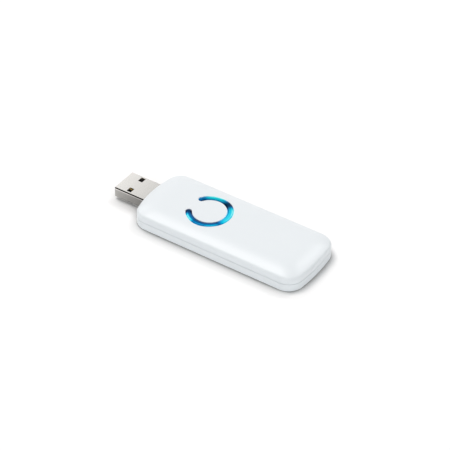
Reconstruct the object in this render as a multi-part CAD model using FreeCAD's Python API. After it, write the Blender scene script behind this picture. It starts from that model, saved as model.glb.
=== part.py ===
import FreeCAD, Part
import math
import os
from FreeCAD import Vector

# A radio stick with a standard flat plug at one end, lying on a table.
# Sizes are millimetres. +X runs from the plug to the far end and +Z is up.
# The origin is on the table, under the middle of the whole stick.

# Housing in plan
housing_length = 77.0
housing_width = 31.1
plug_end_bow = 2.6
far_end_bow = 1.4
plug_end_corner = 6.1
far_end_corner = 6.8

# Housing in section
housing_height = 8.3
parting_height = 3.5
crown_inset = 8.8
crown_rise = 2.3
crown_corner = 3.5
crease_round = 1.4
shell_wall = 1.3
floor_wall = 1.0
foot_round = 0.5
parting_chamfer = 0.2
crown_sections = 6
crown_degree = 3

# Lap joint and snaps between the two shells
lip_inset = 0.7
lip_height = 1.0
lip_gap = 0.05
snap_count = 3
snap_first = 14.0
snap_pitch = 24.0
snap_length = 5.0
snap_depth = 0.3
snap_height = 0.4
snap_lift = 0.45
snap_end_gap = 0.2
snap_window_height = 0.6

# Plug shell, folded from steel sheet
plug_exposed = 13.7
plug_length = 18.7
plug_width = 12.0
plug_height = 4.5
plug_centre_height = 3.3
plug_corner = 0.45
plug_sheet = 0.3
plug_mouth_chamfer = 0.12
plug_hole_gap = 0.12
window_setback = 6.16
window_spread = 7.62
window_width = 2.5
window_length = 2.0
seam_width = 0.06
seam_tab_setback = 8.6
seam_tab_neck = 1.4
seam_tab_head = 2.2
seam_tab_reach = 1.2
ear_setback = 0.5
ear_length = 2.4
ear_reach = 1.3
ear_leg_length = 1.4
ear_leg_drop = 0.5

# Plug insulator and its four contacts
insulator_gap = 0.03
insulator_setback = 0.35
insulator_tail = 0.3
socket_depth = 11.8
contact_thickness = 0.2
contact_width = 1.0
contact_sink = 0.15
contact_slot_gap = 0.04
power_contact_setback = 1.3
data_contact_setback = 2.3
power_contact_spread = 7.0
data_contact_spread = 2.0
contact_landing = 1.6

# Circuit board and how it is held
board_thickness = 1.0
board_edge_gap = 0.3
board_cutout_gap = 0.2
pin_radius = 0.7
pin_gap = 0.1
pin_stand = 0.6
pin_inset = 4.0
front_pin_setback = 10.5
middle_pin_gap = 2.2
rear_pin_setback = 12.0
post_radius = 1.3
cap_post_radius = 1.2
cap_post_gap = 0.03
clamp_rib_thickness = 0.8
clamp_rib_count = 2
clamp_rib_pitch = 1.6
clamp_rib_setback = 3.0
clamp_rib_margin = 1.0

# Light ring and the button tongue that it surrounds
ring_setback = 27.7
ring_outer_radius = 9.35
ring_band = 2.4
ring_gap_angle = 48.6
ring_proud = 0.22
ring_edge_drop = 0.25
ring_depth = 2.1
ring_fit = 0.05
ring_flange = 0.9
ring_flange_gap = 0.02
light_leg_radius = 0.8
light_leg_angles = (15.0, 112.0, 250.0, 310.0)
light_leg_gap = 0.15
tongue_gap = 0.12
tongue_cut = 0.1
tongue_cut_setback = 7.6
flex_groove_width = 1.6
flex_groove_depth = 0.5
pusher_radius = 1.3
pusher_gap = 0.05
pusher_rib_length = 9.0
pusher_rib_width = 0.8
pusher_rib_height = 0.7

# Push switch under the button
switch_side = 4.6
switch_corner = 0.5
switch_base_height = 1.7
switch_well_radius = 1.85
switch_well_floor = 0.5
switch_cover_thickness = 0.15
switch_claw_width = 1.6
switch_claw_drop = 0.9
plunger_radius = 1.05
plunger_guide_gap = 0.2
plunger_flange_radius = 1.6
plunger_flange_height = 0.5
plunger_flange_gap = 0.07
plunger_stand = 0.7
dome_radius = 1.5
dome_rise = 0.35
dome_thickness = 0.1

# Indicator lamps
led_length = 2.0
led_width = 1.25
led_base_height = 0.35
led_lens_height = 0.35
led_lens_length = 1.4

# Battery, its pad and its leads
battery_ring_gap = 1.0
battery_side_gap = 5.9
battery_headroom = 0.35
battery_round = 0.9
battery_can_gap = 2.0
pad_thickness = 0.3
pad_margin = 1.0
lead_radius = 0.35
lead_bend = 0.9
lead_rise = 1.3
lead_landing_inset = 4.1
lead_first = 5.0
lead_pitch = 3.0

# Radio section at the far end
can_antenna_gap = 1.2
can_length = 7.0
can_width = 12.0
can_height = 1.7
can_sheet = 0.2
can_round = 0.4
can_hole_radius = 0.35
can_hole_pitch = 1.8
can_hole_columns = 2
can_hole_rows = 4
radio_chip_side = 4.2
radio_chip_height = 0.85
radio_chip_shift = 2.6
crystal_shift = 3.4
antenna_end_gap = 5.3
antenna_wire_radius = 0.22
antenna_turns = 8
antenna_pitch = 1.5
antenna_lift = 0.25
antenna_headroom = 0.3
antenna_foot_radius = 0.3
antenna_wire_sides = 8

# Small parts on the board behind the plug
chip_zone_setback = 11.8
bridge_chip_side = 5.0
bridge_chip_height = 0.9
bridge_chip_coil_gap = 0.9
chip_dimple_radius = 0.35
chip_dimple_depth = 0.08
crystal_length = 3.2
crystal_width = 2.5
crystal_height = 0.8
crystal_round = 0.3
small_chip_length = 2.9
small_chip_width = 1.6
small_chip_height = 1.1
small_chip_stand = 0.15
small_chip_lead_width = 0.4
small_chip_lead_pitch = 0.95
small_chip_lead_reach = 0.6
small_chip_lead_height = 0.2
small_chip_first_shift = 2.6
small_chip_pitch = 4.2
coil_side = 3.0
coil_base_height = 0.4
coil_height = 1.5
coil_flange_height = 0.3
coil_waist_radius = 0.95
coil_edge_gap = 3.9
passive_length = 1.6
passive_width = 0.8
passive_height = 0.6
passive_cap = 0.3
passive_cap_gap = 0.05
passive_pitch = 1.7
capacitor_count = 5
resistor_count = 6
passive_row_gap = 1.6

# Places that follow from the sizes above
tip_x = -(plug_exposed + housing_length) / 2
plug_end_x = tip_x + plug_exposed
far_end_x = plug_end_x + housing_length
reach = plug_exposed + housing_length
half_width = housing_width / 2
crown_radius = (crown_inset ** 2 + crown_rise ** 2) / (2 * crown_rise)
crown_centre_z = housing_height - crown_radius
ceiling_z = housing_height - shell_wall
plug_bottom_z = plug_centre_height - plug_height / 2
plug_top_z = plug_centre_height + plug_height / 2
plug_rear_x = tip_x + plug_length
board_top_z = plug_centre_height - contact_thickness
board_bottom_z = board_top_z - board_thickness
board_inset = shell_wall + board_edge_gap
ring_x = plug_end_x + ring_setback
ring_inner_radius = ring_outer_radius - ring_band
ring_middle_radius = ring_outer_radius - ring_band / 2
ring_end_angle = 180 - ring_gap_angle / 2 - math.degrees(ring_band / 2 / ring_middle_radius)
ring_base_z = housing_height - ring_depth
tongue_cut_x = ring_x - tongue_cut_setback
led_top_z = board_top_z + led_base_height + led_lens_height
switch_top_z = board_top_z + switch_base_height
plunger_top_z = switch_top_z + switch_cover_thickness + plunger_stand
pin_y = half_width - pin_inset
pin_columns = (
    plug_end_x + front_pin_setback,
    ring_x + ring_outer_radius + middle_pin_gap,
    far_end_x - rear_pin_setback,
)
battery_start_x = ring_x + ring_outer_radius + ring_flange + battery_ring_gap
battery_half_width = half_width - battery_side_gap
battery_bottom_z = board_top_z + pad_thickness
chip_zone_x = plug_end_x + chip_zone_setback
passive_row_shift = bridge_chip_side / 2 + passive_row_gap
coil_y = board_inset - half_width + coil_edge_gap + coil_side / 2
bridge_chip_y = coil_y + coil_side / 2 + bridge_chip_coil_gap + bridge_chip_side / 2


def crown_height(inset, depth):
    """How high the crown stands over a place inset from the outline, depth inside its skin."""
    return crown_centre_z + math.sqrt((crown_radius - depth) ** 2 - (crown_inset - inset) ** 2)


battery_top_z = crown_height(battery_side_gap, shell_wall) - battery_headroom
antenna_top_z = crown_height(antenna_end_gap, shell_wall) - antenna_headroom
antenna_diameter = antenna_top_z - antenna_lift - board_top_z
antenna_x = far_end_x - antenna_end_gap - antenna_diameter / 2
can_x = antenna_x - antenna_diameter / 2 - can_antenna_gap - can_length / 2
battery_end_x = can_x - can_length / 2 - battery_can_gap


def block(x_low, x_high, y_low, y_high, z_low, z_high):
    """A rectangular block between two corners."""
    corner = Vector(x_low, y_low, z_low)
    return Part.makeBox(x_high - x_low, y_high - y_low, z_high - z_low, corner)


def block_on(x, y, length, width, z_low, z_high):
    """A rectangular block centred on a place in plan."""
    return block(x - length / 2, x + length / 2, y - width / 2, y + width / 2, z_low, z_high)


def post(x, y, radius, z_low, z_high):
    """An upright round post."""
    return Part.makeCylinder(radius, z_high - z_low, Vector(x, y, z_low))


def end_points(bow, corner, inset):
    """Half of a rounded end whose crown is at x = 0, with the housing towards +x.

    Returns where the end arc meets the corner arc, the middle of the corner arc,
    and where the corner arc meets the straight side.
    """
    bow_radius = (half_width ** 2 + bow ** 2) / (2 * bow)
    centre_y = half_width - inset - corner
    centre_x = bow_radius - math.sqrt((bow_radius - inset - corner) ** 2 - centre_y ** 2)
    lean = math.atan2(centre_y, bow_radius - centre_x)
    middle = (lean + math.pi / 2) / 2
    arc_radius = bow_radius - inset
    on_arc = (bow_radius - arc_radius * math.cos(lean), arc_radius * math.sin(lean))
    on_corner = (centre_x - corner * math.cos(middle), centre_y + corner * math.sin(middle))
    on_side = (centre_x, half_width - inset)
    return on_arc, on_corner, on_side


def outline(inset, plug_corner_radius, far_corner_radius, z):
    """The housing's outline in plan, drawn in by inset: eight edges, anticlockwise."""
    plug_half = end_points(plug_end_bow, plug_corner_radius, inset)
    far_half = end_points(far_end_bow, far_corner_radius, inset)
    arc_n, corner_n, side_n = [Vector(plug_end_x + x, y, z) for x, y in plug_half]
    arc_s, corner_s, side_s = [Vector(plug_end_x + x, -y, z) for x, y in plug_half]
    far_arc_n, far_corner_n, far_side_n = [Vector(far_end_x - x, y, z) for x, y in far_half]
    far_arc_s, far_corner_s, far_side_s = [Vector(far_end_x - x, -y, z) for x, y in far_half]
    curves = [
        Part.Arc(arc_n, Vector(plug_end_x + inset, 0, z), arc_s),
        Part.Arc(arc_s, corner_s, side_s),
        Part.LineSegment(side_s, far_side_s),
        Part.Arc(far_side_s, far_corner_s, far_arc_s),
        Part.Arc(far_arc_s, Vector(far_end_x - inset, 0, z), far_arc_n),
        Part.Arc(far_arc_n, far_corner_n, far_side_n),
        Part.LineSegment(far_side_n, side_n),
        Part.Arc(side_n, corner_n, arc_n),
    ]
    return Part.Wire([curve.toShape() for curve in curves])


def offset_slab(inset, z_low, z_high):
    """A slab with the housing's outline drawn in by inset."""
    wire = outline(inset, plug_end_corner - inset, far_end_corner - inset, z_low)
    return Part.Face(wire).extrude(Vector(0, 0, z_high - z_low))


def housing_form(depth, base_z):
    """The closed form of the housing, depth inside its outer surface, from base_z up.

    The crown is lofted through outlines that draw in as they rise along an arc,
    and their corners tighten towards the flat of the crown.
    """
    radius = crown_radius - depth
    start = math.acos((crown_inset - depth) / radius)
    sections = []
    for step in range(crown_sections + 1):
        angle = start + (math.pi / 2 - start) * step / crown_sections
        inset = crown_inset - radius * math.cos(angle)
        share = (inset - depth) / (crown_inset - depth)
        plug_corner_radius = (plug_end_corner - depth) * (1 - share) + crown_corner * share
        far_corner_radius = (far_end_corner - depth) * (1 - share) + crown_corner * share
        z = crown_centre_z + radius * math.sin(angle)
        sections.append(outline(inset, plug_corner_radius, far_corner_radius, z))
    crown = Part.makeLoft(sections, True, False, False, crown_degree)
    wall = offset_slab(depth, base_z, crown_height(depth, depth))
    return wall.fuse(crown).removeSplitter()


def edges_at_height(shape, z):
    """The edges that lie wholly at one height."""
    tolerance = 1e-4
    level = []
    for edge in shape.Edges:
        box = edge.BoundBox
        if abs(box.ZMin - z) < tolerance and abs(box.ZMax - z) < tolerance:
            level.append(edge)
    return level


def rounded_bar(width, height, corner, x_low, x_high):
    """A bar along X with a rounded rectangular section, centred on the plug."""
    bar = block(x_low, x_high, -width / 2, width / 2,
                plug_centre_height - height / 2, plug_centre_height + height / 2)
    along = [edge for edge in bar.Edges if edge.BoundBox.XLength > (x_high - x_low) / 2]
    return bar.makeFillet(corner, along)


def plug_passage():
    """The way through both shells for the plug, with its clearance."""
    return rounded_bar(plug_width + 2 * plug_hole_gap, plug_height + 2 * plug_hole_gap,
                       plug_corner + plug_hole_gap, tip_x, plug_rear_x + plug_hole_gap)


def snap_places():
    """The middle of each snap along the straight sides."""
    return [plug_end_x + snap_first + index * snap_pitch for index in range(snap_count)]


def pin_places():
    """Where the locating pins stand in plan."""
    return [(x, side * pin_y) for x in pin_columns for side in (-1, 1)]


def ring_prism(clearance, z_low, z_high):
    """The ring's plan form, grown by clearance on every side, as an upright prism."""
    height = z_high - z_low
    base = Vector(ring_x, 0, z_low)
    up = Vector(0, 0, 1)
    sweep = 2 * ring_end_angle
    band = Part.makeCylinder(ring_outer_radius + clearance, height, base, up, sweep)
    band.rotate(base, up, -ring_end_angle)
    band = band.cut(Part.makeCylinder(ring_inner_radius - clearance, height, base))
    for x, y in ring_end_places():
        band = band.fuse(post(x, y, ring_band / 2 + clearance, z_low, z_high))
    return band.removeSplitter()


def ring_end_places():
    """The centres of the ring's two rounded ends."""
    angle = math.radians(ring_end_angle)
    x = ring_x + ring_middle_radius * math.cos(angle)
    y = ring_middle_radius * math.sin(angle)
    return [(x, y), (x, -y)]


def inside_ring(x_low, z_low, z_high):
    """The disc under the ring's outer edge, kept where x is above x_low."""
    disc = post(ring_x, 0, ring_outer_radius, z_low, z_high)
    return disc.cut(block(x_low - reach, x_low, -reach, reach, z_low, z_high))


def cover_skin():
    """The moulded skin of the top: crown, side wall, parting chamfer and rebate."""
    skin = housing_form(0, parting_height)
    skin = skin.makeFillet(crease_round, edges_at_height(skin, crown_height(0, 0)))
    skin = skin.makeChamfer(parting_chamfer, edges_at_height(skin, parting_height))
    skin = skin.cut(housing_form(shell_wall, parting_height - shell_wall))
    rebate_top = parting_height + lip_height + lip_gap
    return skin.cut(offset_slab(lip_inset - lip_gap, parting_height - shell_wall, rebate_top))


def snap_bead(x, side):
    """A wedge on the rebate's wall that springs into a window of the lip."""
    wall_y = half_width - lip_inset + lip_gap
    z = parting_height + snap_lift
    corners = [
        Vector(x - snap_length / 2, side * (wall_y + lip_gap), z - snap_height / 2),
        Vector(x - snap_length / 2, side * (wall_y + lip_gap), z + snap_height / 2),
        Vector(x - snap_length / 2, side * (wall_y - snap_depth), z),
    ]
    face = Part.Face(Part.makePolygon(corners + corners[:1]))
    return face.extrude(Vector(snap_length, 0, 0))


def flex_groove(x_low, x_high):
    """The groove under the neck of the tongue, where it flexes."""
    return block(x_low, x_high, -ring_outer_radius, ring_outer_radius,
                 ceiling_z - shell_wall, ceiling_z + flex_groove_depth)


def make_top_shell(skin):
    """Upper moulding: crowned cover with rebate, snap beads, posts and clamp ribs."""
    shell = skin
    inner_limit = housing_form(shell_wall / 2, 0)
    for x, y in pin_places():
        cap_post = post(x, y, cap_post_radius, board_top_z + cap_post_gap, housing_height)
        pin_hole = post(x, y, pin_radius + pin_gap, board_top_z, board_top_z + pin_stand + pin_gap)
        shell = shell.fuse(cap_post.cut(pin_hole).common(inner_limit))
    for index in range(clamp_rib_count):
        x = plug_end_x + clamp_rib_setback + index * clamp_rib_pitch
        rib_width = plug_width - 2 * clamp_rib_margin
        rib = block(x, x + clamp_rib_thickness, -rib_width / 2, rib_width / 2,
                    plug_top_z + cap_post_gap, housing_height)
        shell = shell.fuse(rib.common(inner_limit))
    for x in snap_places():
        for side in (-1, 1):
            shell = shell.fuse(snap_bead(x, side))
    entry = plug_passage().cut(block(plug_end_x + clamp_rib_setback, reach, -reach, reach, -reach, reach))
    shell = shell.cut(entry)
    low = ceiling_z - shell_wall
    high = housing_height + shell_wall
    shell = shell.cut(flex_groove(tongue_cut_x - flex_groove_width / 2, tongue_cut_x))
    shell = shell.cut(inside_ring(tongue_cut_x - tongue_cut / 2, low, high))
    return shell.cut(ring_prism(ring_fit, low, high))


def make_button_tongue(skin):
    """The tongue of the cover inside the ring, with its pusher and stiffening ribs."""
    low = ceiling_z - shell_wall
    high = housing_height + shell_wall
    tongue_plan = inside_ring(tongue_cut_x + tongue_cut / 2, low, high).cut(ring_prism(tongue_gap, low, high))
    tongue = skin.common(tongue_plan)
    tongue = tongue.cut(flex_groove(tongue_cut_x, tongue_cut_x + flex_groove_width / 2))
    rib_low = ceiling_z - pusher_rib_height
    rib_high = ceiling_z + shell_wall / 2
    tongue = tongue.fuse(block_on(ring_x, 0, pusher_rib_length, pusher_rib_width, rib_low, rib_high))
    tongue = tongue.fuse(block_on(ring_x, 0, pusher_rib_width, pusher_rib_length, rib_low, rib_high))
    return tongue.fuse(post(ring_x, 0, pusher_radius, plunger_top_z + pusher_gap, rib_high))


def make_bottom_shell():
    """Lower moulding: tray with lap lip, snap windows, board posts and plug seat."""
    shell = offset_slab(0, 0, parting_height)
    shell = shell.makeFillet(foot_round, edges_at_height(shell, 0))
    shell = shell.makeChamfer(parting_chamfer, edges_at_height(shell, parting_height))
    lip_top = parting_height + lip_height
    shell = shell.fuse(offset_slab(lip_inset, floor_wall, lip_top))
    shell = shell.cut(offset_slab(shell_wall, floor_wall, lip_top))
    for x, y in pin_places():
        shell = shell.fuse(post(x, y, post_radius, floor_wall / 2, board_bottom_z))
        shell = shell.fuse(post(x, y, pin_radius, floor_wall / 2, board_top_z + pin_stand))
    seat = block(plug_end_x + shell_wall, plug_rear_x, -plug_width / 2 + clamp_rib_margin,
                 plug_width / 2 - clamp_rib_margin, floor_wall / 2, plug_bottom_z)
    shell = shell.fuse(seat)
    window_low = parting_height + snap_lift - snap_window_height / 2
    window_length_x = snap_length + 2 * snap_end_gap
    for x in snap_places():
        for side in (-1, 1):
            window = block_on(x, side * (half_width - shell_wall), window_length_x, 2 * shell_wall,
                              window_low, window_low + snap_window_height)
            shell = shell.cut(window)
    entry = plug_passage().cut(block(plug_end_x + clamp_rib_setback, reach, -reach, reach, -reach, reach))
    return shell.cut(entry).removeSplitter()


def make_light_ring():
    """C-shaped light guide: a domed band with rounded ends, a flange and four legs."""
    half_band = ring_band / 2
    edge_z = housing_height - ring_edge_drop
    peak_z = housing_height + ring_proud
    rise = peak_z - edge_z
    dome_arc_radius = (half_band ** 2 + rise ** 2) / (2 * rise)
    quarter = math.asin(half_band / dome_arc_radius) / 2
    shoulder_x = dome_arc_radius * math.sin(quarter)
    shoulder_z = peak_z - dome_arc_radius * (1 - math.cos(quarter))
    inner_foot = Vector(ring_x + ring_inner_radius, 0, ring_base_z)
    inner_edge = Vector(ring_x + ring_inner_radius, 0, edge_z)
    peak = Vector(ring_x + ring_middle_radius, 0, peak_z)
    outer_edge = Vector(ring_x + ring_outer_radius, 0, edge_z)
    outer_foot = Vector(ring_x + ring_outer_radius, 0, ring_base_z)
    band_section = Part.Wire([
        Part.LineSegment(inner_foot, inner_edge).toShape(),
        Part.Arc(inner_edge, peak, outer_edge).toShape(),
        Part.LineSegment(outer_edge, outer_foot).toShape(),
        Part.LineSegment(outer_foot, inner_foot).toShape(),
    ])
    centre = Vector(ring_x, 0, 0)
    up = Vector(0, 0, 1)
    ring = Part.Face(band_section).revolve(centre, up, 2 * ring_end_angle)
    ring.rotate(centre, up, -ring_end_angle)
    for x, y in ring_end_places():
        axis_foot = Vector(x, y, ring_base_z)
        axis_peak = Vector(x, y, peak_z)
        rim_edge = Vector(x + half_band, y, edge_z)
        rim_foot = Vector(x + half_band, y, ring_base_z)
        shoulder = Vector(x + shoulder_x, y, shoulder_z)
        end_section = Part.Wire([
            Part.LineSegment(axis_foot, axis_peak).toShape(),
            Part.Arc(axis_peak, shoulder, rim_edge).toShape(),
            Part.LineSegment(rim_edge, rim_foot).toShape(),
            Part.LineSegment(rim_foot, axis_foot).toShape(),
        ])
        ring = ring.fuse(Part.Face(end_section).revolve(Vector(x, y, 0), up, 360))
    base = Vector(ring_x, 0, ring_base_z)
    flange = Part.makeCylinder(ring_outer_radius + ring_flange, ring_depth, base, up, 2 * ring_end_angle)
    flange.rotate(base, up, -ring_end_angle)
    flange = flange.cut(Part.makeCylinder(ring_middle_radius, ring_depth, base))
    ring = ring.fuse(flange.common(housing_form(shell_wall + ring_flange_gap, 0)))
    for x, y in light_leg_places():
        ring = ring.fuse(post(x, y, light_leg_radius, led_top_z + light_leg_gap, ring_base_z + ring_band / 2))
    return ring.removeSplitter()


def light_leg_places():
    """Where the ring's legs stand, one over each indicator lamp."""
    places = []
    for degrees in light_leg_angles:
        angle = math.radians(degrees)
        places.append((ring_x + ring_middle_radius * math.cos(angle), ring_middle_radius * math.sin(angle)))
    return places


def seam_strip(start, end):
    """A narrow upright strip between two points in plan, through the plug's floor."""
    length = math.hypot(end[0] - start[0], end[1] - start[1])
    strip = block(-seam_width / 2, length + seam_width / 2, -seam_width / 2, seam_width / 2,
                  plug_bottom_z - plug_sheet, plug_bottom_z + 2 * plug_sheet)
    turn = math.degrees(math.atan2(end[1] - start[1], end[0] - start[0]))
    strip.rotate(Vector(0, 0, 0), Vector(0, 0, 1), turn)
    strip.translate(Vector(start[0], start[1], 0))
    return strip


def make_usb_shell():
    """Folded steel shell of the plug: windows, dovetailed seam and two solder ears."""
    shell = rounded_bar(plug_width, plug_height, plug_corner, tip_x, plug_rear_x)
    mouth = [edge for edge in shell.Edges if edge.BoundBox.XMax < tip_x + plug_mouth_chamfer]
    shell = shell.makeChamfer(plug_mouth_chamfer, mouth)
    bore = rounded_bar(plug_width - 2 * plug_sheet, plug_height - 2 * plug_sheet,
                       plug_corner - plug_sheet, tip_x - plug_sheet, plug_rear_x + plug_sheet)
    shell = shell.cut(bore)
    for side in (-1, 1):
        shell = shell.cut(block_on(tip_x + window_setback, side * window_spread / 2, window_length,
                                   window_width, plug_bottom_z - plug_sheet, plug_top_z + plug_sheet))
    tab_x = tip_x + seam_tab_setback
    path = [
        (tip_x - seam_width, 0),
        (tab_x - seam_tab_neck / 2, 0),
        (tab_x - seam_tab_head / 2, seam_tab_reach),
        (tab_x + seam_tab_head / 2, seam_tab_reach),
        (tab_x + seam_tab_neck / 2, 0),
        (plug_rear_x + seam_width, 0),
    ]
    for start, end in zip(path, path[1:]):
        shell = shell.cut(seam_strip(start, end))
    ear_end_x = plug_rear_x - ear_setback
    ear_y = plug_width / 2 + ear_reach
    for side in (-1, 1):
        inner_y = side * (plug_width / 2 - plug_sheet)
        ear = block(ear_end_x - ear_length, ear_end_x, min(inner_y, side * ear_y), max(inner_y, side * ear_y),
                    board_top_z, board_top_z + plug_sheet)
        leg = block_on(ear_end_x - ear_length / 2, side * (ear_y - plug_sheet / 2), ear_leg_length,
                       plug_sheet, board_bottom_z - ear_leg_drop, board_top_z + plug_sheet)
        shell = shell.fuse(ear).fuse(leg)
    return shell.removeSplitter()


def contact_rows():
    """The side-to-side place of each contact and how far its front is set back."""
    return [
        (-power_contact_spread / 2, power_contact_setback),
        (-data_contact_spread / 2, data_contact_setback),
        (data_contact_spread / 2, data_contact_setback),
        (power_contact_spread / 2, power_contact_setback),
    ]


def make_usb_insulator():
    """Moulded core of the plug: a low tongue in front and a full block behind."""
    gap = plug_sheet + insulator_gap
    core = rounded_bar(plug_width - 2 * gap, plug_height - 2 * gap, plug_corner - plug_sheet,
                       tip_x + insulator_setback, plug_rear_x - insulator_tail)
    tongue_top = board_top_z + contact_sink
    core = core.cut(block(tip_x, tip_x + socket_depth, -reach, reach, tongue_top, reach))
    for y, setback in contact_rows():
        start = tip_x + setback - contact_slot_gap
        core = core.cut(block(start, plug_rear_x, y - contact_width / 2 - contact_slot_gap,
                              y + contact_width / 2 + contact_slot_gap, board_top_z,
                              board_top_z + contact_thickness + contact_slot_gap))
    return core


def make_usb_contact(y, setback):
    """A flat plated contact that runs from the plug's mouth to its pad on the board."""
    strip = block(tip_x + setback, plug_rear_x + contact_landing, y - contact_width / 2,
                  y + contact_width / 2, board_top_z, board_top_z + contact_thickness)
    nose_end = tip_x + setback + contact_sink
    nose = [edge for edge in strip.Edges
            if edge.BoundBox.XMax < nose_end and edge.BoundBox.ZMin > board_top_z + contact_sink]
    return strip.makeChamfer(contact_thickness / 2, nose)


def make_circuit_board():
    """The printed board, with the plug's cut-out, slots for its ears and pin holes."""
    board = offset_slab(board_inset, board_bottom_z, board_top_z)
    cutout_half = plug_width / 2 + board_cutout_gap
    board = board.cut(block(plug_end_x, plug_rear_x + board_cutout_gap, -cutout_half, cutout_half, 0, reach))
    slot_y = plug_width / 2 + ear_reach - plug_sheet / 2
    slot_x = plug_rear_x - ear_setback - ear_length / 2
    for side in (-1, 1):
        board = board.cut(block_on(slot_x, side * slot_y, ear_leg_length + 2 * pin_gap,
                                   plug_sheet + 2 * pin_gap, 0, reach))
    for x, y in pin_places():
        board = board.cut(post(x, y, pin_radius + pin_gap, 0, reach))
    return board


def make_switch_base():
    """Moulded switch body with the well that holds the snap dome."""
    base = block_on(ring_x, 0, switch_side, switch_side, board_top_z, switch_top_z)
    upright = [edge for edge in base.Edges if edge.BoundBox.ZLength > switch_base_height / 2]
    base = base.makeChamfer(switch_corner, upright)
    return base.cut(post(ring_x, 0, switch_well_radius, board_top_z + switch_well_floor, switch_top_z))


def make_switch_cover():
    """Pressed steel cover of the switch, with a round hole and two claws."""
    top = switch_top_z + switch_cover_thickness
    plate = block_on(ring_x, 0, switch_side, switch_side, switch_top_z, top)
    upright = [edge for edge in plate.Edges if edge.BoundBox.ZLength > switch_cover_thickness / 2]
    plate = plate.makeChamfer(switch_corner, upright)
    plate = plate.cut(post(ring_x, 0, plunger_radius + plunger_guide_gap, switch_top_z, top))
    for side in (-1, 1):
        claw_y = side * (switch_side / 2 + switch_cover_thickness / 2)
        claw = block_on(ring_x, claw_y, switch_claw_width, switch_cover_thickness,
                        switch_top_z - switch_claw_drop, top)
        plate = plate.fuse(claw)
    return plate.removeSplitter()


def make_switch_dome():
    """The dished spring disc that clicks under the plunger."""
    floor_z = board_top_z + switch_well_floor
    ball_radius = (dome_radius ** 2 + dome_rise ** 2) / (2 * dome_rise)
    centre = Vector(ring_x, 0, floor_z + dome_rise - ball_radius)
    ball = Part.makeSphere(ball_radius, centre)
    hollow = Part.makeSphere(ball_radius - dome_thickness, centre)
    above_floor = block_on(ring_x, 0, 2 * ball_radius, 2 * ball_radius, floor_z, floor_z + ball_radius)
    return ball.cut(hollow).common(above_floor)


def make_switch_plunger():
    """Round plunger with a flange that is trapped under the cover."""
    flange_top = switch_top_z - plunger_flange_gap
    flange = post(ring_x, 0, plunger_flange_radius, flange_top - plunger_flange_height, flange_top)
    stem = post(ring_x, 0, plunger_radius, flange_top - plunger_flange_height, plunger_top_z)
    return flange.fuse(stem).removeSplitter()


def make_led(x, y):
    """A small surface-mounted lamp: flat base with a raised lens."""
    base_top = board_top_z + led_base_height
    base = block_on(x, y, led_length, led_width, board_top_z, base_top)
    return base.fuse(block_on(x, y, led_lens_length, led_width, base_top, led_top_z))


def make_battery_cell():
    """Flat pouch cell that fills the bay between the ring and the radio section."""
    cell = block(battery_start_x, battery_end_x, -battery_half_width, battery_half_width,
                 battery_bottom_z, battery_top_z)
    return cell.makeFillet(battery_round, cell.Edges)


def make_battery_pad():
    """Foam tape between the cell and the board."""
    return block(battery_start_x + pad_margin, battery_end_x - pad_margin, -battery_half_width + pad_margin,
                 battery_half_width - pad_margin, board_top_z, battery_bottom_z)


def make_battery_lead(index):
    """A short lead: straight out of the cell's side, one bend, and down to the board."""
    x = battery_start_x + lead_first + index * lead_pitch
    z = battery_bottom_z + lead_rise
    pad_y = half_width - lead_landing_inset
    out = Vector(x, battery_half_width, z)
    bend_start = Vector(x, pad_y - lead_bend, z)
    half_turn = math.sqrt(0.5)
    bend_middle = Vector(x, pad_y - lead_bend + lead_bend * half_turn, z - lead_bend + lead_bend * half_turn)
    bend_end = Vector(x, pad_y, z - lead_bend)
    foot = Vector(x, pad_y, board_top_z)
    route = Part.Wire([
        Part.LineSegment(out, bend_start).toShape(),
        Part.Arc(bend_start, bend_middle, bend_end).toShape(),
        Part.LineSegment(bend_end, foot).toShape(),
    ])
    section = Part.Wire([Part.makeCircle(lead_radius, out, Vector(0, 1, 0))])
    return route.makePipeShell([section], True, False)


def make_radio_can():
    """Pressed shielding can with a grid of small holes in its lid."""
    top = board_top_z + can_height
    can = block_on(can_x, 0, can_length, can_width, board_top_z, top)
    upper = [edge for edge in can.Edges if edge.BoundBox.ZMax > board_top_z + can_height / 2]
    can = can.makeFillet(can_round, upper)
    can = can.cut(block_on(can_x, 0, can_length - 2 * can_sheet, can_width - 2 * can_sheet,
                           board_top_z, top - can_sheet))
    for column in range(can_hole_columns):
        for row in range(can_hole_rows):
            x = can_x + (column - (can_hole_columns - 1) / 2) * can_hole_pitch
            y = (row - (can_hole_rows - 1) / 2) * can_hole_pitch
            can = can.cut(post(x, y, can_hole_radius, top - 2 * can_sheet, top + can_sheet))
    return can


def make_square_chip(x, y, side, height):
    """A flat square chip with a dimple that marks its first corner."""
    chip = block_on(x, y, side, side, board_top_z, board_top_z + height)
    dimple_x = x - side / 2 + 2 * chip_dimple_radius
    dimple_y = y - side / 2 + 2 * chip_dimple_radius
    top = board_top_z + height
    return chip.cut(post(dimple_x, dimple_y, chip_dimple_radius, top - chip_dimple_depth, top))


def make_crystal(x, y):
    """A small metal-lidded crystal."""
    body = block_on(x, y, crystal_length, crystal_width, board_top_z, board_top_z + crystal_height)
    upright = [edge for edge in body.Edges if edge.BoundBox.ZLength > crystal_height / 2]
    return body.makeFillet(crystal_round, upright)


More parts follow.
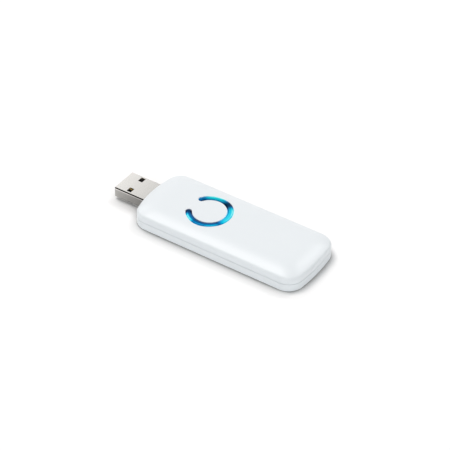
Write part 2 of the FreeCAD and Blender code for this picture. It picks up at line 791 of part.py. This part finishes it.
def make_small_chip(x, y):
    """A small chip that stands on bent leads, three on one side and two on the other."""
    low = board_top_z + small_chip_stand
    chip = block_on(x, y, small_chip_length, small_chip_width, low, board_top_z + small_chip_height)
    lead_y = small_chip_width / 2 + small_chip_lead_reach / 2
    knee = board_top_z + small_chip_height / 2
    for step in (-1, 0, 1):
        for side in (-1, 1):
            if step == 0 and side == 1:
                continue
            lead_x = x + step * small_chip_lead_pitch
            foot = block_on(lead_x, y + side * lead_y, small_chip_lead_width, small_chip_lead_reach,
                            board_top_z, board_top_z + small_chip_lead_height)
            shank_y = y + side * (small_chip_width / 2 + small_chip_lead_height / 2)
            shank = block_on(lead_x, shank_y, small_chip_lead_width, small_chip_lead_height,
                             board_top_z, knee)
            chip = chip.fuse(foot).fuse(shank)
    return chip.removeSplitter()


def make_power_coil():
    """A wound power inductor: square base, waist and round upper flange."""
    x = chip_zone_x
    y = coil_y
    base_top = board_top_z + coil_base_height
    flange_low = board_top_z + coil_height - coil_flange_height
    base = block_on(x, y, coil_side, coil_side, board_top_z, base_top)
    waist = post(x, y, coil_waist_radius, base_top, flange_low)
    flange = post(x, y, coil_side / 2, flange_low, board_top_z + coil_height)
    return base.fuse(waist).fuse(flange)


def make_passives(x, count, with_caps):
    """A row of small two-ended parts; the taller ones have raised end caps."""
    solids = []
    cap_step = passive_cap_gap if with_caps else 0
    for index in range(count):
        y = (index - (count - 1) / 2) * passive_pitch
        body = block_on(x, y, passive_length, passive_width, board_top_z, board_top_z + passive_height)
        for side in (-1, 1):
            cap_x = x + side * (passive_length - passive_cap) / 2
            body = body.fuse(block_on(cap_x, y, passive_cap, passive_width + 2 * cap_step,
                                      board_top_z, board_top_z + passive_height + cap_step))
        solids.append(body.removeSplitter())
    return Part.makeCompound(solids)


def make_antenna():
    """A helical wire antenna lying across the board, with a foot at each end."""
    antenna_length = antenna_turns * antenna_pitch
    centreline_radius = antenna_diameter / 2 - antenna_wire_radius
    axis_z = antenna_top_z - antenna_diameter / 2
    helix = Part.makeHelix(antenna_pitch, antenna_length, centreline_radius)
    corners = []
    for step in range(antenna_wire_sides + 1):
        angle = 2 * math.pi * step / antenna_wire_sides
        corners.append(Vector(centreline_radius + antenna_wire_radius * math.cos(angle), 0,
                              antenna_wire_radius * math.sin(angle)))
    coil = Part.Wire(helix.Edges).makePipeShell([Part.makePolygon(corners)], True, True)
    coil.translate(Vector(0, 0, -antenna_length / 2))
    coil.rotate(Vector(0, 0, 0), Vector(1, 0, 0), 90)
    coil.rotate(Vector(0, 0, 0), Vector(0, 1, 0), 90)
    coil.translate(Vector(antenna_x, 0, axis_z))
    for side in (-1, 1):
        foot = post(antenna_x, side * antenna_length / 2, antenna_foot_radius, board_top_z,
                    axis_z - centreline_radius + antenna_wire_radius)
        coil = coil.fuse(foot)
    return coil


def make_parts():
    """Every piece by name."""
    skin = cover_skin()
    pieces = {
        "top_shell": make_top_shell(skin),
        "button_tongue": make_button_tongue(skin),
        "bottom_shell": make_bottom_shell(),
        "light_ring": make_light_ring(),
        "usb_shell": make_usb_shell(),
        "usb_insulator": make_usb_insulator(),
        "circuit_board": make_circuit_board(),
        "switch_base": make_switch_base(),
        "switch_cover": make_switch_cover(),
        "switch_dome": make_switch_dome(),
        "switch_plunger": make_switch_plunger(),
        "battery_cell": make_battery_cell(),
        "battery_pad": make_battery_pad(),
        "battery_lead_red": make_battery_lead(0),
        "battery_lead_black": make_battery_lead(1),
        "radio_can": make_radio_can(),
        "radio_chip": make_square_chip(can_x, -radio_chip_shift, radio_chip_side, radio_chip_height),
        "radio_crystal": make_crystal(can_x, crystal_shift),
        "antenna_coil": make_antenna(),
        "usb_bridge_chip": make_square_chip(chip_zone_x, bridge_chip_y, bridge_chip_side, bridge_chip_height),
        "charger_chip": make_small_chip(chip_zone_x, small_chip_first_shift),
        "regulator_chip": make_small_chip(chip_zone_x, small_chip_first_shift + small_chip_pitch),
        "power_coil": make_power_coil(),
        "capacitors": make_passives(chip_zone_x + passive_row_shift, capacitor_count, True),
        "resistors": make_passives(chip_zone_x - passive_row_shift, resistor_count, False),
    }
    for number, (y, setback) in enumerate(contact_rows(), start=1):
        pieces[f"usb_contact_{number}"] = make_usb_contact(y, setback)
    for number, (x, y) in enumerate(light_leg_places(), start=1):
        pieces[f"indicator_lamp_{number}"] = make_led(x, y)
    return pieces


os.makedirs("parts", exist_ok=True)
for name, shape in make_parts().items():
    shape.exportStep(f"parts/{name}.step")
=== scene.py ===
import math

import bpy
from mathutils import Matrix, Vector


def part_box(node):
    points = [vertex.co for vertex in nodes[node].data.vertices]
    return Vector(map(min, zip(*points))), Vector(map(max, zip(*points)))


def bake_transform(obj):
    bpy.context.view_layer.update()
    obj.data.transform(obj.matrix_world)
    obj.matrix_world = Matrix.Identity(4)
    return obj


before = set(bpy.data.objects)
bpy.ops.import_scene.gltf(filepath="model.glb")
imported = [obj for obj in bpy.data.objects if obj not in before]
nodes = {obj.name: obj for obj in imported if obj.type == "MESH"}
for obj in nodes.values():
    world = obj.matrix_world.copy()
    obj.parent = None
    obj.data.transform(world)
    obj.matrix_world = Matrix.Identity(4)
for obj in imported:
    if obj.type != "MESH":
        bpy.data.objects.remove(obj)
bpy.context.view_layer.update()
bpy.ops.object.select_all(action="DESELECT")


# Camera
# It looks at the stick from behind its far end, down from about forty degrees,
# and stands well back, so that the long sides stay nearly parallel.
camera_azimuth = math.radians(34.2)
camera_elevation = math.radians(39.57)
camera_distance = 0.7772
nearest_shown = 0.01
photo_pixels = 450
focal_pixels = 1994.4
sensor_width_mm = 36.0
aim_point = Vector((0.00001, 0.00472, 0.0))
towards_camera = Vector((
    math.sin(camera_azimuth) * math.cos(camera_elevation),
    -math.cos(camera_azimuth) * math.cos(camera_elevation),
    math.sin(camera_elevation),
))
bpy.ops.object.camera_add(location=aim_point + towards_camera * camera_distance)
camera = bpy.context.object
camera.name = "photo_camera"
camera.rotation_euler = towards_camera.to_track_quat("Z", "Y").to_euler()
camera.data.sensor_width = sensor_width_mm
camera.data.lens = focal_pixels / photo_pixels * sensor_width_mm
camera.data.clip_start = nearest_shown
bpy.context.scene.camera = camera
bpy.context.scene.view_settings.view_transform = "Standard"


# Table and studio light
# A wide white sheet lies under the stick. Its material deepens the shade at the
# stick's foot, more than the lamps alone would. Small softboxes brighten the
# shoulders and corners, and large dim ones the walls.
def started(name):
    """A new material with its node tree, its shader and the place of the shaded point."""
    material = bpy.data.materials.new(name)
    material.use_nodes = True
    tree = material.node_tree
    place = tree.nodes.new("ShaderNodeTexCoord").outputs["Object"]
    return material, tree, tree.nodes["Principled BSDF"], place


def noise(tree, place, scale, detail=2.0):
    """Soft random values from 0 to 1."""
    node = tree.nodes.new("ShaderNodeTexNoise")
    node.inputs["Scale"].default_value = scale
    node.inputs["Detail"].default_value = detail
    tree.links.new(place, node.inputs["Vector"])
    return node.outputs["Fac"]


def colour_ramp(tree, source, stops):
    """The colour that (position, colour) pairs give for the source's value."""
    node = tree.nodes.new("ShaderNodeValToRGB")
    while len(node.color_ramp.elements) < len(stops):
        node.color_ramp.elements.new(0.5)
    for element, (position, colour) in zip(node.color_ramp.elements, stops):
        element.position = position
        element.color = tuple(colour) + (1,)
    tree.links.new(source, node.inputs["Fac"])
    return node.outputs["Color"]


def grey_ramp(tree, source, stops):
    """The grey that (position, level) pairs give for the source's value."""
    return colour_ramp(tree, source, [(position, (level,) * 3) for position, level in stops])


def ranged(tree, source, low, high, to_low=0.0, to_high=1.0, smooth=False):
    """A value that runs from to_low to to_high as the source runs from low to high."""
    node = tree.nodes.new("ShaderNodeMapRange")
    node.interpolation_type = "SMOOTHSTEP" if smooth else "LINEAR"
    node.inputs["From Min"].default_value = low
    node.inputs["From Max"].default_value = high
    node.inputs["To Min"].default_value = to_low
    node.inputs["To Max"].default_value = to_high
    tree.links.new(source, node.inputs["Value"])
    return node.outputs["Result"]


def reckoned(tree, operation, first, second=0.0):
    """The result of a calculation with two values. The second may be a plain number."""
    node = tree.nodes.new("ShaderNodeMath")
    node.operation = operation
    tree.links.new(first, node.inputs[0])
    if isinstance(second, float):
        node.inputs[1].default_value = second
    else:
        tree.links.new(second, node.inputs[1])
    return node.outputs["Value"]


def vectored(tree, operation, first, second=(0.0, 0.0, 0.0)):
    """The result of a calculation with two vectors. The second may be a plain one."""
    node = tree.nodes.new("ShaderNodeVectorMath")
    node.operation = operation
    tree.links.new(first, node.inputs[0])
    if isinstance(second, tuple):
        node.inputs[1].default_value = second
    else:
        tree.links.new(second, node.inputs[1])
    return node.outputs["Value" if operation in ("LENGTH", "DOT_PRODUCT") else "Vector"]


def mixed(tree, share, first, second):
    """The first colour where the share is 0, the second where it is 1. The first may be plain."""
    node = tree.nodes.new("ShaderNodeMix")
    node.data_type = "RGBA"
    tree.links.new(share, node.inputs["Factor"])
    if isinstance(first, tuple):
        node.inputs["A"].default_value = first
    else:
        tree.links.new(first, node.inputs["A"])
    tree.links.new(second, node.inputs["B"])
    return node.outputs["Result"]


opaque_white = (1.0, 1.0, 1.0, 1.0)
table_width = 6.0
table_mottle = 6.0
table_tones = ((0.0, 0.955), (1.0, 0.965))
table_lift = 0.05
contact_reach = 0.007
contact_rays = 24
painted_contact_shade = (
    (0.16, 0.78), (0.36, 0.33), (0.49, 0.22), (0.56, 0.565),
    (0.66, 0.775), (0.80, 0.95), (1.0, 1.0),
)
# The painted shade shows to camera rays only, and is weaker under the plug.
under_plug_share = 0.58
under_plug_fade = 0.003
plug_end_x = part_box("bottom_shell")[0].x


def table_surface():
    """Matt white sheet, a little uneven in tone, with painted shade close under the stick."""
    material, tree, shader, place = started("table_white")
    shader.inputs["Roughness"].default_value = 0.95
    shader.inputs["Specular IOR Level"].default_value = 0.0
    tone = grey_ramp(tree, noise(tree, place, table_mottle), table_tones)
    nearness = tree.nodes.new("ShaderNodeAmbientOcclusion")
    nearness.samples = contact_rays
    nearness.inputs["Distance"].default_value = contact_reach
    contact = grey_ramp(tree, nearness.outputs["AO"], painted_contact_shade)
    rays = tree.nodes.new("ShaderNodeLightPath").outputs
    along = vectored(tree, "DOT_PRODUCT", place, (1.0, 0.0, 0.0))
    plug_share = ranged(tree, along, plug_end_x - under_plug_fade, plug_end_x, under_plug_share, 1.0)
    share = reckoned(tree, "MULTIPLY", rays["Is Camera Ray"], plug_share)
    seen_painted_shade = mixed(tree, share, opaque_white, contact)
    tree.links.new(vectored(tree, "MULTIPLY", tone, seen_painted_shade), shader.inputs["Base Color"])
    seen = reckoned(tree, "ADD", rays["Is Camera Ray"], rays["Is Glossy Ray"])
    seen = reckoned(tree, "ADD", seen, rays["Is Transmission Ray"])
    tree.links.new(reckoned(tree, "MULTIPLY", seen, table_lift), shader.inputs["Emission Strength"])
    shader.inputs["Emission Color"].default_value = opaque_white
    return material


bpy.ops.mesh.primitive_plane_add(size=table_width)
table = bpy.context.object
table.name = "table"
table.data.materials.append(table_surface())
bpy.ops.object.select_all(action="DESELECT")

room_strength = 0.355
room = bpy.data.worlds.new("white_room")
bpy.context.scene.world = room
room.use_nodes = True
room_light = room.node_tree.nodes["Background"]
room_light.inputs["Color"].default_value = opaque_white
room_light.inputs["Strength"].default_value = room_strength

plain_white = (1.0, 1.0, 1.0)
warm_white = (1.0, 0.97, 0.955)
cool_white = (0.97, 0.99, 1.0)
softboxes = (
    # name, azimuth and elevation in degrees, distance and width in metres, radiance, colour
    ("shoulder_softbox", -84.0, 63.0, 1.8, 0.52, 7.2, warm_white),
    ("corner_softbox", -100.0, 74.0, 1.8, 0.52, 7.6, warm_white),
    ("end_softbox", 168.0, 50.0, 0.9, 0.26, 7.0, plain_white),
    ("plug_side_softbox", -110.0, 36.0, 1.8, 0.48, 4.4, plain_white),
    ("end_fill", 80.0, 18.0, 1.1, 1.0, 0.68, cool_white),
    ("front_fill", 10.0, 14.0, 1.1, 1.0, 1.37, cool_white),
    ("back_sheet", 212.0, 28.0, 1.3, 1.2, 0.54, plain_white),
)
for name, azimuth, elevation, distance, width, radiance, colour in softboxes:
    facing = Vector((
        math.sin(math.radians(azimuth)) * math.cos(math.radians(elevation)),
        -math.cos(math.radians(azimuth)) * math.cos(math.radians(elevation)),
        math.sin(math.radians(elevation)),
    ))
    bpy.ops.object.light_add(type="AREA", location=facing * distance)
    lamp = bpy.context.object
    lamp.name = name
    lamp.data.shape = "SQUARE"
    lamp.data.size = width
    lamp.data.energy = radiance * math.pi * width ** 2
    lamp.data.color = colour
    lamp.rotation_euler = facing.to_track_quat("Z", "Y").to_euler()
    bpy.ops.object.select_all(action="DESELECT")


# Housing shells and button
# Three mouldings in the same satin white plastic with a very fine grain: the crowned
# cover, the tray under it and the button tongue. Painted shade darkens their parting groove a little.
plastic_tones = ((0.0, (0.77, 0.81, 0.835)), (1.0, (0.785, 0.825, 0.85)))
cloud_scale = 60.0
cloud_detail = 3.0
least_roughness = 0.33
most_roughness = 0.38
grain_scale = 5200.0
grain_strength = 0.05
grain_depth = 0.00002
# A band of painted shade along the parting groove.
parting_height = 0.0035
groove_half_width = 0.00005
groove_fade = 0.0002
groove_painted_shade_level = 0.84


def satin_white_plastic():
    """White plastic with a fine mould grain, a faint cool tone and painted shade in the parting groove.
    """
    material, tree, shader, place = started("satin_white_plastic")
    cloud = noise(tree, place, cloud_scale, cloud_detail)
    tone = colour_ramp(tree, cloud, plastic_tones)
    height = vectored(tree, "DOT_PRODUCT", place, (0.0, 0.0, 1.0))
    off_parting = reckoned(tree, "ABSOLUTE", reckoned(tree, "SUBTRACT", height, parting_height))
    painted_groove_shade = ranged(tree, off_parting, groove_half_width, groove_fade, groove_painted_shade_level, 1.0)
    relief = tree.nodes.new("ShaderNodeBump")
    relief.inputs["Strength"].default_value = grain_strength
    relief.inputs["Distance"].default_value = grain_depth
    tree.links.new(noise(tree, place, grain_scale), relief.inputs["Height"])
    tree.links.new(vectored(tree, "MULTIPLY", tone, painted_groove_shade), shader.inputs["Base Color"])
    roughness = ranged(tree, cloud, 0.0, 1.0, least_roughness, most_roughness)
    tree.links.new(roughness, shader.inputs["Roughness"])
    tree.links.new(relief.outputs["Normal"], shader.inputs["Normal"])
    return material


def dress(names, material):
    """Gives pieces of the frame their finish."""
    for name in names:
        for slot in nodes[name].material_slots:
            slot.material = material


dress(["top_shell", "bottom_shell", "button_tongue"], satin_white_plastic())


# Flex web
# The button is a tongue of the cover. This thin web joins the two flush at the
# tongue's neck, in the same white plastic; on the real stick it bends when the button goes down.
web_depth = 0.00025
web_sink = 0.000002
web_half_span = 0.00335
web_cuts = 5
cut_width = 0.0001
neck_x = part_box("button_tongue")[0].x
cover_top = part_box("top_shell")[1].z
bpy.ops.mesh.primitive_cube_add(size=1)
flex_web = bpy.context.object
flex_web.name = "flex_web"
flex_web.scale = (cut_width, 2 * web_half_span, web_depth)
flex_web.location = (neck_x - cut_width / 2, 0, cover_top - web_sink - web_depth / 2)
bpy.ops.object.transform_apply(location=True, rotation=True, scale=True)
bpy.ops.object.mode_set(mode="EDIT")
bpy.ops.mesh.select_all(action="SELECT")
bpy.ops.mesh.subdivide(number_cuts=web_cuts)
bpy.ops.object.mode_set(mode="OBJECT")
flex_web.data.materials.append(nodes["top_shell"].material_slots[0].material)
bpy.ops.object.select_all(action="DESELECT")
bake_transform(flex_web)


# Light ring
# One clear blue moulding, polished. Tones and a glow in its material are painted light,
# placed as if from a lamp under each leg: painted highlights and reflections where it is
# pale, painted shade where nearly black, and paler in the outer half than in the inner half.
ring_centre_x = sum(corner.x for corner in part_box("switch_plunger")) / 2
ring_outer_radius = 0.00935
ring_band = 0.0024
outer_start = 0.45
outer_full = 0.82
painted_shade_level = 0.08
painted_light_spots = (
    # degrees round the ring, spread in degrees, level on the inner and on the outer half
    (-121, 26, 0.38, 1.00), (-75, 70, 0.25, 0.58), (-52, 32, 0.27, 0.74), (5, 50, 0.82, 0.93),
    (25, 34, 0.76, 1.00), (107, 46, 0.72, 1.00), (142, 30, 0.34, 0.57),
)
tones_by_level = (
    (0.00, (0.000, 0.006, 0.036)), (0.30, (0.001, 0.080, 0.230)), (0.50, (0.002, 0.160, 0.405)),
    (0.75, (0.004, 0.435, 0.630)), (0.90, (0.040, 0.600, 0.700)), (1.00, (0.280, 0.780, 0.800)),
)
# Painted shade: thin dark lines near the ring's inner and outer edges.
painted_rim_shade = (
    (0.02, 0.0), (0.05, 0.24), (0.16, 0.24), (0.26, 0.0),
    (0.83, 0.0), (0.86, 0.24), (0.90, 0.24), (0.93, 0.0),
)
far_side_tint = (1.0, 0.95, 0.74)
far_side_start = 0.003
far_side_full = 0.007
outer_tint_share = 0.25
band_middle = 0.5
# A painted glow over the whole face, stronger on the ring's side walls.
painted_face_glow = 0.22
painted_wall_glow = 1.0
wall_start = 0.490
wall_full = 0.498


def blue_guide_painted_light():
    """Polished blue plastic with painted highlights, reflections, shade and glow in its tone."""
    material, tree, shader, place = started("blue_guide_painted_light")
    from_centre = vectored(tree, "SUBTRACT", place, (ring_centre_x, 0.0, 0.0))
    flat = vectored(tree, "MULTIPLY", from_centre, (1.0, 1.0, 0.0))
    heading = vectored(tree, "NORMALIZE", flat)
    reach = vectored(tree, "LENGTH", flat)
    across = ranged(tree, reach, ring_outer_radius - ring_band, ring_outer_radius)
    outer_share = ranged(tree, across, outer_start, outer_full, smooth=True)
    level = painted_shade_level
    for degrees, spread, inner_level, outer_level in painted_light_spots:
        turn = math.radians(degrees)
        nearness = vectored(tree, "DOT_PRODUCT", heading, (math.cos(turn), math.sin(turn), 0.0))
        bell = ranged(tree, nearness, math.cos(math.radians(spread)), 1.0, smooth=True)
        strength = ranged(tree, outer_share, 0.0, 1.0, inner_level, outer_level)
        level = reckoned(tree, "MAXIMUM", reckoned(tree, "MULTIPLY", bell, strength), level)
    level = reckoned(tree, "SUBTRACT", level, grey_ramp(tree, across, painted_rim_shade))
    tone = colour_ramp(tree, level, tones_by_level)
    far_side = vectored(tree, "DOT_PRODUCT", flat, (0.0, 1.0, 0.0))
    far_share = ranged(tree, far_side, far_side_start, far_side_full, smooth=True)
    inner_share = ranged(tree, outer_share, 0.0, 1.0, 1.0, outer_tint_share, smooth=True)
    tint_share = reckoned(tree, "MULTIPLY", far_share, inner_share)
    tint = colour_ramp(tree, tint_share, ((0.0, plain_white), (1.0, far_side_tint)))
    tinted = vectored(tree, "MULTIPLY", tone, tint)
    tree.links.new(tinted, shader.inputs["Base Color"])
    tree.links.new(tinted, shader.inputs["Emission Color"])
    off_middle = reckoned(tree, "ABSOLUTE", reckoned(tree, "SUBTRACT", across, band_middle))
    painted_glow_strength = ranged(tree, off_middle, wall_start, wall_full, painted_face_glow, painted_wall_glow, smooth=True)
    tree.links.new(painted_glow_strength, shader.inputs["Emission Strength"])
    shader.inputs["Roughness"].default_value = 0.12
    shader.inputs["Specular IOR Level"].default_value = 0.06
    shader.inputs["Specular Tint"].default_value = (0.05, 0.50, 1.0, 1.0)
    return material


dress(["light_ring"], blue_guide_painted_light())


# Plug shell and pressed covers
# The plug shell is a steel strip folded into a flat tube and plated with nickel, with
# rolling marks along it, and painted shade on its narrow sides, folded edge and inner end.
# The small pressed covers are tinned.
shell_low, shell_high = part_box("usb_shell")
plug_half_width = 0.006
plug_exposed = 0.0137
plug_mouth_x = shell_low.x
plug_root_x = shell_low.x + plug_exposed
# Painted light on the plug: a darker inner end, a dark line along the folded edge, and narrow sides in
# painted shade with a painted highlight along their top, lighter towards the bottom and the mouth.
inner_end_painted_shade = 0.80
side_mouth_painted_light = 1.03
side_inner_painted_shade = 0.71
painted_edge_shade_line = ((0.0, 1.0), (0.938, 1.0), (0.944, 0.02))
side_painted_shade_and_highlight = (
    (0.0, 0.60), (0.10, 0.47), (0.82, 0.455),
    (0.85, 1.0), (0.900, 1.0), (0.910, 0.02),
)
side_start = 0.985
side_full = 0.997
mark_stretch = (0.05, 1.0, 1.0)
mark_scale = 3000.0
mark_detail = 3.0
worn_share = 0.97
smoother = 0.03
rougher = 0.04


def rolled_sheet(name, colour, roughness):
    """Plated sheet with faint marks along its length."""
    material, tree, shader, place = started(name)
    shader.inputs["Metallic"].default_value = 1.0
    stretched = vectored(tree, "MULTIPLY", place, mark_stretch)
    marks = noise(tree, stretched, mark_scale, mark_detail)
    worn = tuple(worn_share * part for part in colour)
    tree.links.new(colour_ramp(tree, marks, ((0.0, worn), (1.0, colour))), shader.inputs["Base Color"])
    polish = ranged(tree, marks, 0.0, 1.0, roughness - smoother, roughness + rougher)
    tree.links.new(polish, shader.inputs["Roughness"])
    return material


def shade_plug_edges(material):
    """Paints shade on the folded edge, the narrow sides and the inner end of the plug, and a painted
    highlight along the top of each side.
    """
    tree = material.node_tree
    shader = tree.nodes["Principled BSDF"]
    plate = shader.inputs["Base Color"].links[0].from_socket
    split = tree.nodes.new("ShaderNodeSeparateXYZ")
    tree.links.new(tree.nodes.new("ShaderNodeTexCoord").outputs["Object"], split.inputs["Vector"])
    along, across, height = (split.outputs[axis] for axis in "XYZ")
    near_share = reckoned(tree, "DIVIDE", across, -plug_half_width)
    both_share = reckoned(tree, "ABSOLUTE", near_share)
    side_share = ranged(tree, both_share, side_start, side_full, smooth=True)
    rise = ranged(tree, height, shell_low.z, shell_high.z)
    side_painted_fall = ranged(tree, along, plug_mouth_x, plug_root_x, side_mouth_painted_light, side_inner_painted_shade)
    side = vectored(tree, "MULTIPLY", grey_ramp(tree, rise, side_painted_shade_and_highlight), side_painted_fall)
    shade = mixed(tree, side_share, grey_ramp(tree, near_share, painted_edge_shade_line), side)
    inner_end_painted_fall = ranged(tree, along, plug_mouth_x, plug_root_x, 1.0, inner_end_painted_shade)
    shaded = vectored(tree, "MULTIPLY", vectored(tree, "MULTIPLY", plate, shade), inner_end_painted_fall)
    tree.links.new(shaded, shader.inputs["Base Color"])
    return material


dress(["usb_shell"], shade_plug_edges(rolled_sheet("nickel_plate", (0.915, 0.895, 0.86), 0.24)))
dress(["radio_can", "radio_crystal", "switch_cover", "switch_dome"],
      rolled_sheet("tinned_sheet", (0.72, 0.73, 0.74), 0.34))


# Plain mouldings, chips and small parts
# Each is one moulded, fired or plated material with a fine surface of its own.
# All but the plug's insulator and contacts lie inside the closed housing.
speckle_dim_share = 0.85
polish_spread = 0.05


def speckled(name, colour, roughness, metallic, speckle_scale):
    """A plain material with a fine speckle in its tone and polish."""
    material, tree, shader, place = started(name)
    shader.inputs["Metallic"].default_value = metallic
    speckle = noise(tree, place, speckle_scale)
    dim = tuple(speckle_dim_share * part for part in colour)
    tree.links.new(colour_ramp(tree, speckle, ((0.0, dim), (1.0, colour))), shader.inputs["Base Color"])
    polish = ranged(tree, speckle, 0.0, 1.0, roughness - polish_spread, roughness + polish_spread)
    tree.links.new(polish, shader.inputs["Roughness"])
    return material


contacts = [name for name in nodes if name.startswith("usb_contact")]
lamps = [name for name in nodes if name.startswith("indicator_lamp")]
chips = ["radio_chip", "usb_bridge_chip", "charger_chip", "regulator_chip"]
finishes = (
    # pieces, material, colour, roughness, metallic, speckle scale
    (["usb_insulator"], "black_nylon", (0.012, 0.012, 0.013), 0.50, 0.0, 3000),
    (contacts, "gold_plate", (0.83, 0.62, 0.24), 0.25, 1.0, 2500),
    (["circuit_board"], "solder_mask", (0.012, 0.16, 0.06), 0.35, 0.0, 800),
    (["switch_base", "switch_plunger"], "grey_nylon", (0.06, 0.06, 0.065), 0.45, 0.0, 3000),
    (chips, "chip_epoxy", (0.02, 0.02, 0.022), 0.55, 0.0, 6000),
    (lamps, "lamp_lens", (0.90, 0.88, 0.72), 0.30, 0.0, 2000),
    (["battery_cell"], "pouch_foil", (0.66, 0.67, 0.69), 0.32, 1.0, 500),
    (["battery_pad"], "foam_tape", (0.05, 0.05, 0.05), 0.90, 0.0, 2500),
    (["battery_lead_red"], "red_insulation", (0.50, 0.015, 0.01), 0.40, 0.0, 1500),
    (["battery_lead_black"], "black_insulation", (0.012, 0.012, 0.012), 0.40, 0.0, 1500),
    (["power_coil", "resistors"], "ferrite", (0.035, 0.034, 0.036), 0.60, 0.0, 4000),
    (["capacitors"], "fired_ceramic", (0.38, 0.25, 0.13), 0.50, 0.0, 4000),
    (["antenna_coil"], "spring_wire", (0.72, 0.52, 0.22), 0.28, 1.0, 2500),
)
for names, finish, colour, roughness, metallic, speckle_scale in finishes:
    dress(names, speckled(finish, colour, roughness, metallic, speckle_scale))
